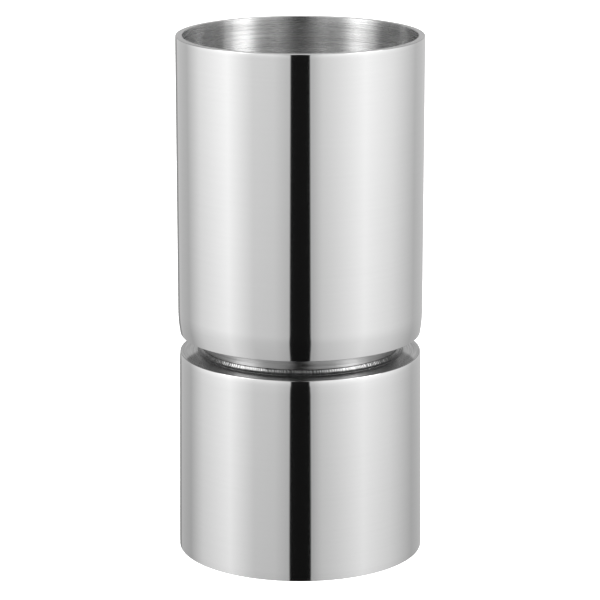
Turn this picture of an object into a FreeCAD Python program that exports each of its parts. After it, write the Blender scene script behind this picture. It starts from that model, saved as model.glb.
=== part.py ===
import FreeCAD, Part
import math
import os

# Double-ended bar jigger, in millimetres: a tall cup and a short cup, each drawn from one
# sheet, stand back to back on a thick steel disc and are welded to it all round.
#
# Frame: +Z up along the axis of both cups, origin at the middle of the lower rim, which is
# what the jigger stands on. The tall cup opens upwards and the short cup opens downwards.
#
# Every shape is a solid of revolution. A cup is drawn closed end down, in its own frame.

# Overall sizes
TOTAL_HEIGHT = 81.0
LOWER_CUP_HEIGHT = 31.65        # lower rim to the short cup's closed end
GAP = 2.9                       # between the two closed ends, the disc's thickness
UPPER_CUP_HEIGHT = TOTAL_HEIGHT - LOWER_CUP_HEIGHT - GAP

# Cup walls: each cup is a little wider at its rim than at its closed end
UPPER_RIM_RADIUS = 19.0
UPPER_END_RADIUS = 18.96
LOWER_RIM_RADIUS = 19.04
LOWER_END_RADIUS = 18.77
SHEET = 1.05                    # thickness of wall and closed end
INNER_CORNER_RADIUS = 1.5       # where the wall meets the closed end, inside

# Polishing has drawn the outside in towards the closed end, as (height, inset)
UPPER_END_ROLL = (3.3, 0.32)
LOWER_END_ROLL = (1.8, 0.08)

# Broken edges
OUTER_RIM_EDGE = 0.15
INNER_RIM_EDGE = 0.6
CLOSED_END_EDGE = 0.25

# The joint between the cups
DISC_RADIUS = 15.3
WELD_WIDTH = 0.7                # out along the closed end
WELD_HEIGHT = 0.78              # up the disc
WELD_HOLLOW = 0.1               # depth of the bead's face below a straight slope

FULL_TURN = 360.0
HALF_TURN = 180.0
EDGE_TOLERANCE = 1e-4


def point(radius, height):
    """A point of a section, in the plane through the axis."""
    return FreeCAD.Vector(radius, 0.0, height)


def line(start, end):
    return Part.LineSegment(start, end).toShape()


def arc(start, middle, end):
    return Part.Arc(start, middle, end).toShape()


def revolve(edges):
    """The solid that a closed section sweeps in one turn about the axis."""
    face = Part.Face(Part.Wire(edges))
    return face.revolve(FreeCAD.Vector(0, 0, 0), FreeCAD.Vector(0, 0, 1), FULL_TURN)


def round_edge(solid, radius, height, edge_radius):
    """Round the one circular edge of this radius, at this height."""
    for edge in solid.Edges:
        box = edge.BoundBox
        level = abs(box.ZMin - height) < EDGE_TOLERANCE and box.ZLength < EDGE_TOLERANCE
        if level and abs(box.XMax - radius) < EDGE_TOLERANCE:
            return solid.makeFillet(edge_radius, [edge])
    raise ValueError("no edge of radius %.2f at height %.2f" % (radius, height))


def roll_edge(wall_radius, roll):
    """The gentle arc from the foot of the wall, inwards, down to the closed end."""
    height, inset = roll
    roll_radius = (height ** 2 + inset ** 2) / (2.0 * inset)
    half_angle = 0.5 * math.asin(height / roll_radius)
    centre_radius = wall_radius - roll_radius
    middle = point(centre_radius + roll_radius * math.cos(half_angle),
                   height - roll_radius * math.sin(half_angle))
    return arc(point(wall_radius - inset, 0.0), middle, point(wall_radius, height))


def inner_corner(inner_radius):
    """The round between the closed end's inside face and the wall."""
    centre_radius = inner_radius - INNER_CORNER_RADIUS
    centre_height = SHEET + INNER_CORNER_RADIUS
    diagonal = INNER_CORNER_RADIUS * math.sqrt(0.5)
    return arc(point(inner_radius, centre_height),
               point(centre_radius + diagonal, centre_height - diagonal),
               point(centre_radius, SHEET))


def cup(rim_radius, end_radius, height, roll):
    """A drawn cup, closed end down at height 0 and open at the top."""
    inner_foot = end_radius - SHEET
    end_face_radius = end_radius - roll[1]
    section = [
        line(point(0.0, 0.0), point(end_face_radius, 0.0)),
        roll_edge(end_radius, roll),
        line(point(end_radius, roll[0]), point(rim_radius, height)),
        line(point(rim_radius, height), point(rim_radius - SHEET, height)),
        line(point(rim_radius - SHEET, height), point(inner_foot, SHEET + INNER_CORNER_RADIUS)),
        inner_corner(inner_foot),
        line(point(inner_foot - INNER_CORNER_RADIUS, SHEET), point(0.0, SHEET)),
        line(point(0.0, SHEET), point(0.0, 0.0)),
    ]
    solid = revolve(section)
    solid = round_edge(solid, end_face_radius, 0.0, CLOSED_END_EDGE)
    solid = round_edge(solid, rim_radius, height, OUTER_RIM_EDGE)
    return round_edge(solid, rim_radius - SHEET, height, INNER_RIM_EDGE)


def upper_cup():
    """The tall cup, standing on the disc with its mouth up."""
    solid = cup(UPPER_RIM_RADIUS, UPPER_END_RADIUS, UPPER_CUP_HEIGHT, UPPER_END_ROLL)
    solid.translate(FreeCAD.Vector(0, 0, LOWER_CUP_HEIGHT + GAP))
    return solid


def lower_cup():
    """The short cup, turned over so that its rim is the foot of the jigger."""
    solid = cup(LOWER_RIM_RADIUS, LOWER_END_RADIUS, LOWER_CUP_HEIGHT, LOWER_END_ROLL)
    solid.rotate(FreeCAD.Vector(0, 0, 0), FreeCAD.Vector(1, 0, 0), HALF_TURN)
    solid.translate(FreeCAD.Vector(0, 0, LOWER_CUP_HEIGHT))
    return solid


def joining_disc():
    """The disc between the closed ends, which keeps the cups the gap apart."""
    solid = Part.makeCylinder(DISC_RADIUS, GAP)
    solid.translate(FreeCAD.Vector(0, 0, LOWER_CUP_HEIGHT))
    return solid


def weld_bead(face_height, side):
    """A slightly hollow bead in the corner between the disc and a closed end.

    face_height is the closed end's outside face; side is +1 for the bead that lies on the
    lower cup and -1 for the one that hangs from the upper cup.
    """
    slope = math.hypot(WELD_WIDTH, WELD_HEIGHT)
    corner = point(DISC_RADIUS, face_height)
    toe = point(DISC_RADIUS + WELD_WIDTH, face_height)
    top = point(DISC_RADIUS, face_height + side * WELD_HEIGHT)
    middle_radius = DISC_RADIUS + WELD_WIDTH / 2 - WELD_HOLLOW * WELD_HEIGHT / slope
    middle_height = WELD_HEIGHT / 2 - WELD_HOLLOW * WELD_WIDTH / slope
    middle = point(middle_radius, face_height + side * middle_height)
    return revolve([line(corner, toe), arc(toe, middle, top), line(top, corner)])


PARTS = {
    "upper_cup": upper_cup(),
    "lower_cup": lower_cup(),
    "joining_disc": joining_disc(),
    "lower_weld_bead": weld_bead(LOWER_CUP_HEIGHT, 1),
    "upper_weld_bead": weld_bead(LOWER_CUP_HEIGHT + GAP, -1),
}

os.makedirs("parts", exist_ok=True)
for name, shape in PARTS.items():
    shape.exportStep("parts/" + name + ".step")
    print(name, "valid", shape.isValid(), "solids", len(shape.Solids),
          "volume %.1f mm3" % shape.Volume)
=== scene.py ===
import math

import bpy
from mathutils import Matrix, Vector, noise


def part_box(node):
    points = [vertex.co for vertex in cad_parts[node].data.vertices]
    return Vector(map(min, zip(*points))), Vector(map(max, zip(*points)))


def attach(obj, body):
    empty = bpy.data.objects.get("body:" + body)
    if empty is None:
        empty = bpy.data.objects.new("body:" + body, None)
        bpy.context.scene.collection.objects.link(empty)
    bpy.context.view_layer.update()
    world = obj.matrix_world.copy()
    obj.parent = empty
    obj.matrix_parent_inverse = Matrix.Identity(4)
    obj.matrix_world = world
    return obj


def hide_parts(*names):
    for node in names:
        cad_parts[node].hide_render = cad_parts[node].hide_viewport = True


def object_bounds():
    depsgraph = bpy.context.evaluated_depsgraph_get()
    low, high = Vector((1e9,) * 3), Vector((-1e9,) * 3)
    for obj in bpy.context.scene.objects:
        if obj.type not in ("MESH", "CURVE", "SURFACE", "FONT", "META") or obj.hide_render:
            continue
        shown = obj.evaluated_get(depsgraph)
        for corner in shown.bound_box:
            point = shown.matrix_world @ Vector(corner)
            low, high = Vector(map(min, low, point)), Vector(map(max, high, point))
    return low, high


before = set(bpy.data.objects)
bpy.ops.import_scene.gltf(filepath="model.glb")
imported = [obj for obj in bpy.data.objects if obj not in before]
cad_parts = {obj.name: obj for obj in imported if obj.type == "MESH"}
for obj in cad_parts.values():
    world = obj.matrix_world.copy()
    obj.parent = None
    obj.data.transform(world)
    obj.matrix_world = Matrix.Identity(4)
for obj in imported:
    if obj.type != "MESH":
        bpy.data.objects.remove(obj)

# The jigger's finished surfaces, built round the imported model, in metres.
#
# Every piece is a solid of revolution about Z, so a piece is a section (radius, height)
# swept round the axis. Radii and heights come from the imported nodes; what the nodes'
# boxes don't say, such as sheet thickness, is named here.

MM = 0.001
CAD_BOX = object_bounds()

# ---------------------------------------------------------------- the cups
SHEET = 1.05 * MM                   # thickness of wall and closed end
UPPER_END_RADIUS = 18.96 * MM       # the walls' radii just above their closed ends
LOWER_END_RADIUS = 18.77 * MM
INNER_CORNER = 1.5 * MM             # rounding between the wall and the closed end, inside
INNER_FLARE_HEIGHT = 0.8 * MM       # how far below the rim the inside starts to open out
INNER_FLARE = 0.03 * MM             # how far it opens
END_SLOPE_WIDTH = 2.6 * MM          # how far in from the wall a closed end bends away
UPPER_END_FALL = 0.01 * MM          # how far it has fallen at its edge, towards the mouth
LOWER_END_FALL = 0.08 * MM

# Rounding of the edges
OUTER_RIM_EDGE = 0.08 * MM
INNER_RIM_EDGE = 0.05 * MM
CLOSED_END_EDGE = 0.12 * MM
DISC_EDGE = 0.1 * MM
FULL_ROUND = math.inf               # a corner rounded as far as its neighbours allow

# Where polishing has drawn a wall in towards its end, as steps of (distance from the end,
# degrees of lean from there on), each rounded into the next
UPPER_END_LEANS = ((3.6 * MM, 1.0), (3.0 * MM, 2.4), (2.4 * MM, 4.1), (1.8 * MM, 6.0),
                   (1.2 * MM, 7.8), (0.6 * MM, 9.2))
LOWER_END_LEANS = ((1.8 * MM, 1.5), (0.9 * MM, 3.2), (0.5 * MM, 6.5))
UPPER_RIM_LEANS = ((0.6 * MM, 1.5), (0.3 * MM, 5.0))
LOWER_RIM_LEANS = ((0.8 * MM, 1.0),)

# How finely a lathe surface is divided
TURN_SEGMENTS = 384                 # faces round the axis
ARC_STEP = math.radians(7.5)        # turn between two points of a rounded edge
FEWEST_ARC_STEPS = 4
LONGEST_SPAN = 2.5 * MM             # longest face along a straight wall
TINY = 1e-9                         # a shorter length than this counts as none

# ---------------------------------------------------------------- the weld beads
BEAD_SHOULDER = 0.16 * MM           # how far out the bead's top aims before it falls
BEAD_HOLLOW = 0.48 * MM             # how far in from the toe it aims before it runs out
RIPPLES = 240                       # round the whole bead, about 0.4 mm apart
RIPPLE_HEIGHT = 0.032 * MM
RIPPLE_BOW = 0.55                   # how far a ripple's middle runs ahead, in ripples
RIPPLE_SKEW = 0.7                   # below 1, a ripple rises more steeply than it falls
STRAY = 1.2                         # how far ripples stray from even spacing, in ripples
STRAY_CHANGES = 9.0                 # how often the straying changes, per radian
STRENGTH = 0.8                      # a ripple's mean height, as a share of RIPPLE_HEIGHT
STRENGTH_RANGE = 0.6                # how far that share goes to either side
STRENGTH_CHANGES = 40.0             # how often it changes, per radian
STRENGTH_LEVEL = 0.3                # sets its noise apart from the straying's
WELD_START = math.radians(-109.5)   # where the bead's end overlaps its start
WELD_START_STEP = 0.12 * MM         # how far the overlap stands out
WELD_START_FADE = math.radians(4.0) # how soon it sinks back into the bead
STEPS_PER_RIPPLE = 8
BEAD_STEPS = 14                     # from the disc down to the bead's toe

# ---------------------------------------------------------------- the steels
# Streaks and patches together make the wear, which sets a steel's shade and roughness
PATCH_SIZE = 9 * MM
PATCH_DETAIL = 2.0
STREAK_SHARE = 0.75                 # of the wear; the rest is patches
WEAR_RANGE = (0.35, 0.65)           # the part of the mixed noise that is drawn out to 0 to 1

SWAY_RANGE = (0.3, 0.7)             # the streaks' values that sway a surface fully each way
QUARTER_TURN = 0.25                 # from the tangent to the anisotropy's direction

# ---------------------------------------------------------------- camera and floor
CAMERA_DISTANCE = 438.3 * MM
CAMERA_HEIGHT = 150.1 * MM
CAMERA_ASIDE = -0.035 * MM
CAMERA_DOWN = math.radians(14.174)
CAMERA_LENS = 174.67                # mm, on the sensor below
SENSOR_WIDTH = 36.0

FLOOR_SIZE = 6.0
FLOOR_SHADE = 0.85
FLOOR_ROUGHNESS = 0.9
FLOOR_GLOW = 0.9                    # keeps the floor as pale as the backdrop

# ---------------------------------------------------------------- the studio's light
# Brightness by azimuth, in degrees from the camera's side towards +X
TABLE = ((-180, 0.50), (-169, 0.34), (-160, 0.32), (-157, 0.66), (-152, 0.64), (-128, 0.57),
         (-106, 0.96), (-70, 1.27), (-44, 0.85), (-24, 0.81), (-12, 0.67), (12, 0.62),
         (20, 0.82), (34, 0.95), (62, 1.23), (94, 1.00), (132, 0.60), (156, 0.66), (180, 0.62))
WALLS = ((-180, 1.05), (-160, 0.75), (-140, 0.35), (-112, 0.20), (-100, 0.6), (-90, 0.8),
         (-50, 1.7), (-30, 1.3), (0, 0.9), (30, 1.4), (50, 1.9), (90, 1.2), (104, 0.8),
         (116, 0.20), (140, 0.45), (160, 0.80), (180, 1.05))
PANELS = ((-180, 0.0), (-98, 0.0), (-88, 0.5), (-76, 4.3), (-60, 4.3), (-44, 0.3), (-34, 0.0),
          (34, 0.0), (44, 0.5), (57, 4.5), (120, 4.5), (130, 0.0), (180, 0.0))

# ... and by the sine of the elevation
TABLE_BY_DEPTH = ((-1.0, 0.30), (-0.86, 0.36), (-0.55, 0.72), (-0.33, 0.79), (-0.29, 0.84),
                  (-0.25, 0.90), (-0.165, 1.0), (-0.09, 1.07), (0.0, 1.22))
WALLS_BY_HEIGHT = ((0.0, 0.7), (0.07, 0.55), (0.15, 0.5), (0.26, 0.5), (0.4, 0.65),
                   (0.6, 0.8), (1.0, 0.9))
PANELS_BY_HEIGHT = ((-1.0, 0.0), (0.11, 0.0), (0.19, 1.0), (0.55, 1.0), (0.75, 0.0),
                    (1.0, 0.0))
HORIZON_BLEND = 0.09                # by here the table has given way to what is above

# A curtain hides the back of the panel on the +X side. How much of the panel shows, by how
# far a direction of length 1 goes along CURTAIN_WAY, which is (x, y)
CURTAIN_WAY = (0.799, 0.602)
CURTAIN = ((-1.0, 1.0), (0.544, 1.0), (0.554, 0.42), (0.675, 0.42), (0.695, 0.0), (1.0, 0.0))

# A dark slot runs along the table from the jigger towards the camera, and narrows with
# distance: its half widths, in degrees, at two sines of the elevation
SLOT_DEPTHS = (-0.30, -0.16)
SLOT_HALF_WIDTHS = (10.1, 8.7)
SLOT_SOFTNESS = 0.4                 # degrees to each side of the slot's edge
SLOT_DARKNESS = 0.985

# A dark gap in the walls stands above the slot, and is weaker overhead
GAP_DEGREES = (4.0, 24.0)           # full up to the first azimuth, gone from the second
GAP_DARKNESS = 0.99
GAP_OVERHEAD = (0.9, 1.0)           # the sines of elevation between which it weakens
GAP_OVERHEAD_SHARE = 0.7            # what is left of it straight overhead


def add_object(name, data):
    """A new object in the scene."""
    piece = bpy.data.objects.new(name, data)
    bpy.context.scene.collection.objects.link(piece)
    return piece


def smooth_mesh(name, vertices, faces, materials):
    """A new mesh, shaded smooth, with these materials in order."""
    mesh = bpy.data.meshes.new(name)
    mesh.from_pydata(vertices, [], faces)
    for material in materials:
        mesh.materials.append(material)
    mesh.polygons.foreach_set("use_smooth", [True] * len(faces))
    return mesh


# ================================================================ sections and lathes
def toward(a, b):
    """Direction and distance from one point of a section to another."""
    length = math.hypot(b[0] - a[0], b[1] - a[1])
    return (b[0] - a[0]) / length, (b[1] - a[1]) / length, length


def straight(start, end, surface):
    """Points from start to end, none further apart than LONGEST_SPAN."""
    dr, dz, length = toward(start, end)
    spans = math.ceil(length / LONGEST_SPAN)
    steps = [length * i / spans for i in range(spans + 1)]
    return [(start[0] + dr * t, start[1] + dz * t, dz, -dr, surface) for t in steps]


def rounded_section(corners):
    """Points along an open section, with every corner rounded.

    corners is a list of (radius, height, rounding, surface), the surface being the index of
    the material between this corner and the next. Returns (radius, height, normal radius,
    normal height, surface), with the normal to the right of the way along.
    """
    points = []
    start = corners[0][:2]
    for before, corner, after in zip(corners, corners[1:], corners[2:]):
        in_r, in_z, length_in = toward(before, corner)
        out_r, out_z, length_out = toward(corner, after)
        turn = math.atan2(in_r * out_z - in_z * out_r, in_r * out_r + in_z * out_z)
        half_tan = abs(math.tan(turn / 2))
        rounding = min(corner[2], min(length_in, length_out) / 2 / half_tan)
        reach = rounding * half_tan
        arc_start = (corner[0] - in_r * reach, corner[1] - in_z * reach)
        if math.dist(start, arc_start) > TINY:
            points += straight(start, arc_start, before[3])
        signed = math.copysign(rounding, turn)
        centre = (arc_start[0] - in_z * signed, arc_start[1] + in_r * signed)
        steps = max(FEWEST_ARC_STEPS, math.ceil(abs(turn) / ARC_STEP))
        for i in range(1, steps):
            angle = turn * i / steps
            dr = in_r * math.cos(angle) - in_z * math.sin(angle)
            dz = in_r * math.sin(angle) + in_z * math.cos(angle)
            surface = before[3] if i < steps / 2 else corner[3]
            points.append((centre[0] + dz * signed, centre[1] - dr * signed, dz, -dr, surface))
        start = (corner[0] + out_r * reach, corner[1] + out_z * reach)
    return points + straight(start, corners[-1][:2], corners[-2][3])


def leaning_in(radius, end, way, leans, surface):
    """Corners of a wall that leans in towards its end, and the radius that it ends at.

    way is 1 where the end is the wall's top, in the section's own heights, and -1 where it
    is the wall's foot. The corners run towards the end.
    """
    corners = []
    for (distance, degrees), (next_distance, _) in zip(leans, leans[1:] + ((0.0, 0.0),)):
        corners.append((radius, end - way * distance, FULL_ROUND, surface))
        radius -= (distance - next_distance) * math.tan(math.radians(degrees))
    return corners, radius


def lathe(name, section, foot, up, materials):
    """A closed mesh swept round Z from a section that starts and ends on the axis.

    The section's heights are measured from foot, upwards for up = 1 and downwards for -1.
    A section turned over has its faces turned over too, so that they still look outwards.
    """
    vertices, normals, rings = [], [], []
    for r, z, nr, nz, _ in section:
        first = len(vertices)
        if r < TINY:
            vertices.append((0.0, 0.0, foot + up * z))
            normals.append((0.0, 0.0, up * math.copysign(1.0, nz)))
            rings.append([first] * TURN_SEGMENTS)
            continue
        for j in range(TURN_SEGMENTS):
            angle = math.tau * j / TURN_SEGMENTS
            c, s = math.cos(angle), math.sin(angle)
            vertices.append((r * c, r * s, foot + up * z))
            normals.append((nr * c, nr * s, up * nz))
        rings.append(list(range(first, first + TURN_SEGMENTS)))
    faces, surfaces = [], []
    for low, high, point in zip(rings, rings[1:], section):
        for j in range(TURN_SEGMENTS):
            k = (j + 1) % TURN_SEGMENTS
            corners = list(dict.fromkeys((low[j], low[k], high[k], high[j])))
            faces.append(corners[::up])
            surfaces.append(point[4])
    mesh = smooth_mesh(name, vertices, faces, materials)
    mesh.polygons.foreach_set("material_index", surfaces)
    mesh.normals_split_custom_set_from_vertices(normals)
    return add_object(name, mesh)


# ================================================================ the pieces
OUTSIDE, INSIDE, RIM, END = range(4)        # a cup's surfaces, in the order of its materials


def cup(name, node, end_radius, end_fall, end_leans, rim_leans, up, materials):
    """A drawn cup in its node's place, mouth upwards for up = 1 and downwards for -1.

    The section is drawn closed end down, with that end's face at height 0. It runs from the
    axis out, up the wall, over the rim and back down the inside.
    """
    low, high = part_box(node)
    height, rim_radius = high.z - low.z, high.x
    inner_rim_radius = rim_radius - SHEET
    foot, end_face_radius = leaning_in(end_radius, 0.0, -1, end_leans, OUTSIDE)
    lip, rim_face_radius = leaning_in(rim_radius, height, 1, rim_leans, OUTSIDE)
    section = rounded_section([
        (0.0, 0.0, 0.0, END),
        (end_radius - END_SLOPE_WIDTH, 0.0, FULL_ROUND, END),
        (end_face_radius, end_fall, CLOSED_END_EDGE, OUTSIDE),
        *foot[::-1],
        *lip,
        (rim_face_radius, height, OUTER_RIM_EDGE, RIM),
        (inner_rim_radius + INNER_FLARE, height, INNER_RIM_EDGE, INSIDE),
        (inner_rim_radius, height - INNER_FLARE_HEIGHT, FULL_ROUND, INSIDE),
        (end_radius - SHEET, SHEET, INNER_CORNER, INSIDE),
        (0.0, SHEET, 0.0, INSIDE),
    ])
    piece = lathe(name, section, low.z if up > 0 else high.z, up, materials)
    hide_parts(node)
    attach(piece, "root")


def waist_disc(material):
    """The disc between the closed ends."""
    low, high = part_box("joining_disc")
    thickness = high.z - low.z
    section = rounded_section([
        (0.0, 0.0, 0.0, 0),
        (high.x, 0.0, DISC_EDGE, 0),
        (high.x, thickness, DISC_EDGE, 0),
        (0.0, thickness, 0.0, 0),
    ])
    piece = lathe("waist_disc", section, low.z, 1, [material])
    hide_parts("joining_disc")
    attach(piece, "root")


def ripple(angle, along):
    """How far the bead's face stands out, at an angle round it and 0 to 1 down its slope."""
    around = Vector((math.cos(angle), math.sin(angle), 0.0))
    stray = STRAY * noise.noise(around * STRAY_CHANGES)
    bow = RIPPLE_BOW * (1.0 - (2.0 * along - 1.0) ** 2)
    phase = (angle / math.tau * RIPPLES + stray - bow) % 1.0
    place = around * STRENGTH_CHANGES + Vector((0.0, 0.0, STRENGTH_LEVEL))
    strength = STRENGTH + STRENGTH_RANGE * noise.noise(place)
    past_start = (angle - WELD_START) % math.tau
    step = WELD_START_STEP * math.exp(-past_start / WELD_START_FADE)
    height = RIPPLE_HEIGHT * strength * math.sin(math.pi * phase ** RIPPLE_SKEW)
    return (height + step) * math.sqrt(math.sin(math.pi * along))


def bead_face(along, width, height):
    """A point of the bead's face and the normal there, 0 at the disc to 1 at the toe.

    The face is a cubic curve that leaves the disc level, falls steeply and runs out level.
    """
    left = 1.0 - along
    foot = width - BEAD_HOLLOW
    r = 3 * left ** 2 * along * BEAD_SHOULDER + 3 * left * along ** 2 * foot + along ** 3 * width
    z = height * left ** 2 * (1 + 2 * along)
    run = (left ** 2 * BEAD_SHOULDER + 2 * left * along * (foot - BEAD_SHOULDER)
           + along ** 2 * BEAD_HOLLOW)
    fall = 2 * left * along * height
    length = math.hypot(run, fall)
    return r, z, fall / length, run / length


def weld_bead(name, node, on_lower_cup, material):
    """A rippled bead in the corner between the disc and a closed end.

    It lies on the lower cup, or else hangs from the upper one.
    """
    low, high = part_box(node)
    disc_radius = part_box("joining_disc")[1].x
    width, height = high.x - disc_radius, high.z - low.z
    face, side = (low.z, 1.0) if on_lower_cup else (high.z, -1.0)
    segments = RIPPLES * STEPS_PER_RIPPLE
    ring = BEAD_STEPS + 2                   # points of one section: its corner and its face
    vertices, faces = [], []
    for j in range(segments):
        angle = math.tau * j / segments
        c, s = math.cos(angle), math.sin(angle)
        vertices.append((disc_radius * c, disc_radius * s, face))
        for i in range(BEAD_STEPS + 1):
            along = i / BEAD_STEPS
            r, z, normal_r, normal_z = bead_face(along, width, height)
            out = ripple(angle, along) - RIPPLE_HEIGHT / 2 * math.sin(math.pi * along)
            r += disc_radius + out * normal_r
            z += out * normal_z
            vertices.append((r * c, r * s, face + side * z))
    for j in range(segments):
        k = (j + 1) % segments
        for i in range(ring):
            m = (i + 1) % ring
            quad = [j * ring + i, k * ring + i, k * ring + m, j * ring + m]
            faces.append(quad[::-1] if on_lower_cup else quad)
    piece = add_object(name, smooth_mesh(name, vertices, faces, [material]))
    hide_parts(node)
    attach(piece, "root")


# ================================================================ materials
class Nodes:
    """A node tree, emptied, and short ways to add to it."""

    def __init__(self, tree):
        self.tree = tree
        tree.nodes.clear()

    def add(self, kind, *inputs, **settings):
        """A new node, its first sockets set or linked in order."""
        node = self.tree.nodes.new(kind)
        for key, value in settings.items():
            setattr(node, key, value)
        for socket, value in zip(node.inputs, inputs):
            self.link(value, socket)
        return node

    def link(self, value, socket):
        """Join an output to a socket, or set the socket to a plain value."""
        if isinstance(value, bpy.types.NodeSocket):
            self.tree.links.new(value, socket)
        else:
            socket.default_value = value

    def math(self, operation, *values):
        return self.add("ShaderNodeMath", *values, operation=operation).outputs[0]

    def product(self, *values):
        return self.math("MULTIPLY", *values)

    def total(self, *values):
        return self.math("ADD", *values)

    def less(self, share):
        """What is left of 1 when a share is taken away."""
        return self.math("SUBTRACT", 1.0, share)

    def vector(self, operation, *values):
        return self.add("ShaderNodeVectorMath", *values, operation=operation).outputs[0]

    def scaled(self, vector, factor):
        node = self.add("ShaderNodeVectorMath", vector, operation="SCALE")
        self.link(factor, node.inputs["Scale"])
        return node.outputs[0]

    def span(self, value, from_low, from_high, to_low, to_high, smooth=False):
        """A value moved from one range to another, and held at its ends."""
        node = self.add("ShaderNodeMapRange", value, from_low, from_high, to_low, to_high)
        node.interpolation_type = "SMOOTHSTEP" if smooth else "LINEAR"
        return node.outputs[0]

    def curve(self, value, stops):
        """A grey that follows stops of (value, brightness)."""
        first, last = stops[0][0], stops[-1][0]
        node = self.add("ShaderNodeValToRGB", self.span(value, first, last, 0.0, 1.0))
        elements = node.color_ramp.elements
        for place, _ in stops[1:-1]:
            elements.new((place - first) / (last - first))
        for element, (_, grey) in zip(elements, stops):
            element.color = (grey, grey, grey, 1.0)
        return node.outputs[0]

    def noise(self, vector, detail):
        node = self.add("ShaderNodeTexNoise", vector)
        node.inputs["Scale"].default_value = 1.0
        node.inputs["Detail"].default_value = detail
        return node.outputs["Fac"]


def turned_lines(nodes, length, pitch, detail):
    """Noise drawn out round the axis: streaks of this length and pitch on any lathe surface."""
    split = nodes.add("ShaderNodeSeparateXYZ", nodes.add("ShaderNodeTexCoord").outputs["Object"])
    x, y, z = split.outputs
    radius = nodes.math("SQRT", nodes.total(nodes.product(x, x), nodes.product(y, y)))
    across = nodes.total(radius, z)
    stretched = nodes.add("ShaderNodeCombineXYZ", nodes.math("DIVIDE", x, length),
                          nodes.math("DIVIDE", y, length), nodes.math("DIVIDE", across, pitch))
    return nodes.noise(stretched.outputs[0], detail)


def patches(nodes):
    """Soft irregular patches."""
    place = nodes.add("ShaderNodeTexCoord").outputs["Object"]
    return nodes.noise(nodes.scaled(place, 1.0 / PATCH_SIZE), PATCH_DETAIL)


def steel(name, shades, roughness, anisotropy, lines, line_depth=0.0, sway=0.0):
    """Stainless steel worked round the axis.

    shades and roughness are each (lowest, highest); lines is (streak length, pitch, detail)
    of the marks that the work left, line_depth their depth, and sway how far they turn the
    surface sideways.
    """
    material = bpy.data.materials.new(name)
    material.use_nodes = True
    nodes = Nodes(material.node_tree)
    streaks = turned_lines(nodes, *lines)
    mixed = nodes.total(nodes.product(streaks, STREAK_SHARE),
                        nodes.product(patches(nodes), 1.0 - STREAK_SHARE))
    wear = nodes.span(mixed, *WEAR_RANGE, 0.0, 1.0)
    marks = nodes.add("ShaderNodeBump")
    marks.inputs["Distance"].default_value = line_depth
    nodes.link(streaks, marks.inputs["Height"])
    tangent = nodes.add("ShaderNodeTangent", direction_type="RADIAL", axis="Z").outputs[0]
    swayed = nodes.scaled(tangent, nodes.span(streaks, *SWAY_RANGE, -sway, sway))
    normal = nodes.vector("NORMALIZE", nodes.vector("ADD", marks.outputs[0], swayed))
    shader = nodes.add("ShaderNodeBsdfPrincipled")
    shader.inputs["Metallic"].default_value = 1.0
    shader.inputs["Anisotropic"].default_value = anisotropy
    shader.inputs["Anisotropic Rotation"].default_value = QUARTER_TURN
    nodes.link(nodes.curve(wear, ((0.0, shades[0]), (1.0, shades[1]))),
               shader.inputs["Base Color"])
    nodes.link(nodes.span(wear, 0.0, 1.0, *roughness), shader.inputs["Roughness"])
    nodes.link(normal, shader.inputs["Normal"])
    nodes.link(tangent, shader.inputs["Tangent"])
    nodes.add("ShaderNodeOutputMaterial", shader.outputs[0])
    return material


# ================================================================ camera, floor, light
def studio_light():
    """A soft light tent: a bright table, dim walls and two tall panels.

    The table has a dark slot towards the camera and the walls a dark gap above it. A curtain
    hides part of one panel. The camera itself sees a plain white backdrop.
    """
    world = bpy.data.worlds.new("studio")
    bpy.context.scene.world = world
    world.use_nodes = True
    nodes = Nodes(world.node_tree)
    direction = nodes.add("ShaderNodeTexCoord").outputs["Generated"]
    x, y, z = nodes.add("ShaderNodeSeparateXYZ", direction).outputs
    azimuth = nodes.product(nodes.math("ARCTAN2", x, nodes.product(y, -1.0)), math.degrees(1.0))
    off_middle = nodes.math("ABSOLUTE", azimuth)

    half_width = nodes.span(z, *SLOT_DEPTHS, *SLOT_HALF_WIDTHS)
    past_slot = nodes.math("SUBTRACT", off_middle, half_width)
    slot = nodes.span(past_slot, -SLOT_SOFTNESS, SLOT_SOFTNESS, SLOT_DARKNESS, 0.0)
    table = nodes.product(nodes.curve(azimuth, TABLE), nodes.curve(z, TABLE_BY_DEPTH))
    table = nodes.product(table, nodes.less(slot))

    gap = nodes.product(nodes.span(off_middle, *GAP_DEGREES, GAP_DARKNESS, 0.0),
                        nodes.span(z, *GAP_OVERHEAD, 1.0, GAP_OVERHEAD_SHARE))
    walls = nodes.product(nodes.curve(azimuth, WALLS), nodes.curve(z, WALLS_BY_HEIGHT))
    walls = nodes.product(walls, nodes.less(gap))

    curtain_way = nodes.total(nodes.product(x, CURTAIN_WAY[0]), nodes.product(y, CURTAIN_WAY[1]))
    panels = nodes.product(nodes.curve(azimuth, PANELS), nodes.curve(z, PANELS_BY_HEIGHT))
    panels = nodes.product(panels, nodes.curve(curtain_way, CURTAIN))

    above = nodes.span(z, 0.0, HORIZON_BLEND, 0.0, 1.0, smooth=True)
    light = nodes.total(nodes.product(nodes.total(walls, panels), above),
                        nodes.product(table, nodes.less(above)))
    studio = nodes.add("ShaderNodeBackground", (1.0, 1.0, 1.0, 1.0), light)
    backdrop = nodes.add("ShaderNodeBackground", (1.0, 1.0, 1.0, 1.0), 1.0)
    camera_ray = nodes.add("ShaderNodeLightPath").outputs["Is Camera Ray"]
    seen = nodes.add("ShaderNodeMixShader", camera_ray, studio.outputs[0], backdrop.outputs[0])
    nodes.add("ShaderNodeOutputWorld", seen.outputs[0])


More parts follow.
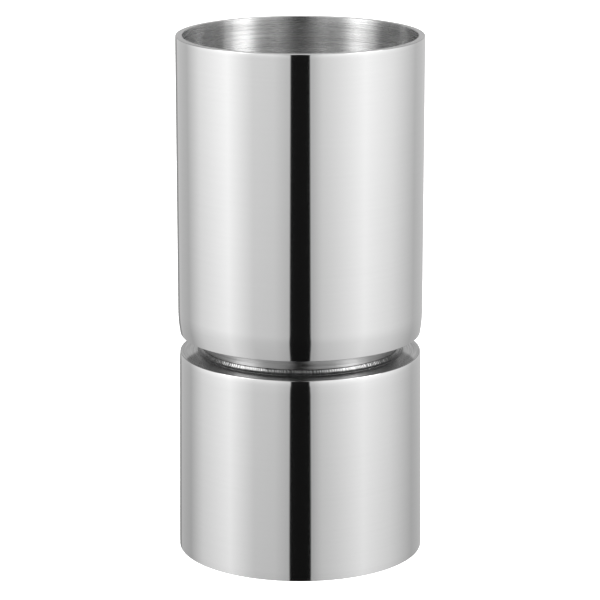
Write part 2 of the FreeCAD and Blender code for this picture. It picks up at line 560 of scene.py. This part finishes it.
def pale_floor():
    """A plain white table top under the jigger, left out of the steel's reflections."""
    material = bpy.data.materials.new("white_table")
    material.use_nodes = True
    nodes = Nodes(material.node_tree)
    shader = nodes.add("ShaderNodeBsdfPrincipled")
    shader.inputs["Base Color"].default_value = (FLOOR_SHADE, FLOOR_SHADE, FLOOR_SHADE, 1.0)
    shader.inputs["Roughness"].default_value = FLOOR_ROUGHNESS
    shader.inputs["Specular IOR Level"].default_value = 0.0
    shader.inputs["Emission Color"].default_value = (1.0, 1.0, 1.0, 1.0)
    shader.inputs["Emission Strength"].default_value = FLOOR_GLOW
    nodes.add("ShaderNodeOutputMaterial", shader.outputs[0])
    half = FLOOR_SIZE / 2
    level = CAD_BOX[0][2]
    corners = [(-half, -half, level), (half, -half, level), (half, half, level),
               (-half, half, level)]
    floor = add_object("floor", smooth_mesh("floor", corners, [(0, 1, 2, 3)], [material]))
    floor.visible_glossy = False


def camera():
    """The view from in front, looking down a little from above the rim."""
    data = bpy.data.cameras.new("camera")
    data.lens = CAMERA_LENS
    data.sensor_width = SENSOR_WIDTH
    view = add_object("camera", data)
    view.location = (CAMERA_ASIDE, -CAMERA_DISTANCE, CAMERA_HEIGHT)
    view.rotation_euler = (math.pi / 2 - CAMERA_DOWN, 0.0, 0.0)
    bpy.context.scene.camera = view


camera()
studio_light()
pale_floor()
bpy.context.scene.view_settings.view_transform = "Standard"

# The walls are mirror polished, the insides are brushed round the axis, and the rest is left
# as it came from turning or welding. The disc, the beads and the upper cup's underside, down in
# the groove between the cups, carry painted shade: shades darker than their bare steel
polished = steel("polished_steel", (0.735, 0.745), (0.055, 0.065), 0.0,
                 (20 * MM, 0.3 * MM, 3.0))
brushed = steel("brushed_steel", (0.60, 0.80), (0.24, 0.29), 1.0,
                (12 * MM, 0.15 * MM, 3.0), line_depth=0.0025 * MM)
rim = steel("rim_steel", (0.70, 0.80), (0.17, 0.22), 1.0,
            (6 * MM, 0.25 * MM, 4.0), line_depth=0.001 * MM, sway=0.01)
ended = steel("faced_steel", (0.48, 0.76), (0.12, 0.19), 0.9,
              (9 * MM, 0.2 * MM, 3.0), line_depth=0.0005 * MM)
# Painted shade: the waist disc, deep in the groove between the cups, is set darker than its bare
# steel
turned = steel("turned_steel_painted_shade", (0.30, 0.44), (0.30, 0.38), 0.9,
               (12 * MM, 0.2 * MM, 3.0), line_depth=0.002 * MM, sway=0.03)
# Painted shade: the weld beads, in the groove between the cups, are set darker than bare steel,
# which also dims their highlights
weld_with_painted_shade = steel("weld_steel", (0.22, 0.33), (0.18, 0.26), 0.0,
               (0.6 * MM, 0.3 * MM, 3.0), line_depth=0.003 * MM)
# Painted shade: the upper cup's underside, down in the narrow gap between the cups, is set much
# darker than the lower cup's like face
under = steel("under_steel_painted_shade", (0.28, 0.44), (0.24, 0.34), 0.9,
              (9 * MM, 0.2 * MM, 3.0), line_depth=0.0005 * MM)

cup("tall_cup", "upper_cup", UPPER_END_RADIUS, UPPER_END_FALL, UPPER_END_LEANS,
    UPPER_RIM_LEANS, 1, [polished, brushed, rim, under])
cup("short_cup", "lower_cup", LOWER_END_RADIUS, LOWER_END_FALL, LOWER_END_LEANS,
    LOWER_RIM_LEANS, -1, [polished, brushed, rim, ended])
waist_disc(turned)
weld_bead("lower_bead", "lower_weld_bead", True, weld_with_painted_shade)
weld_bead("upper_bead", "upper_weld_bead", False, weld_with_painted_shade)
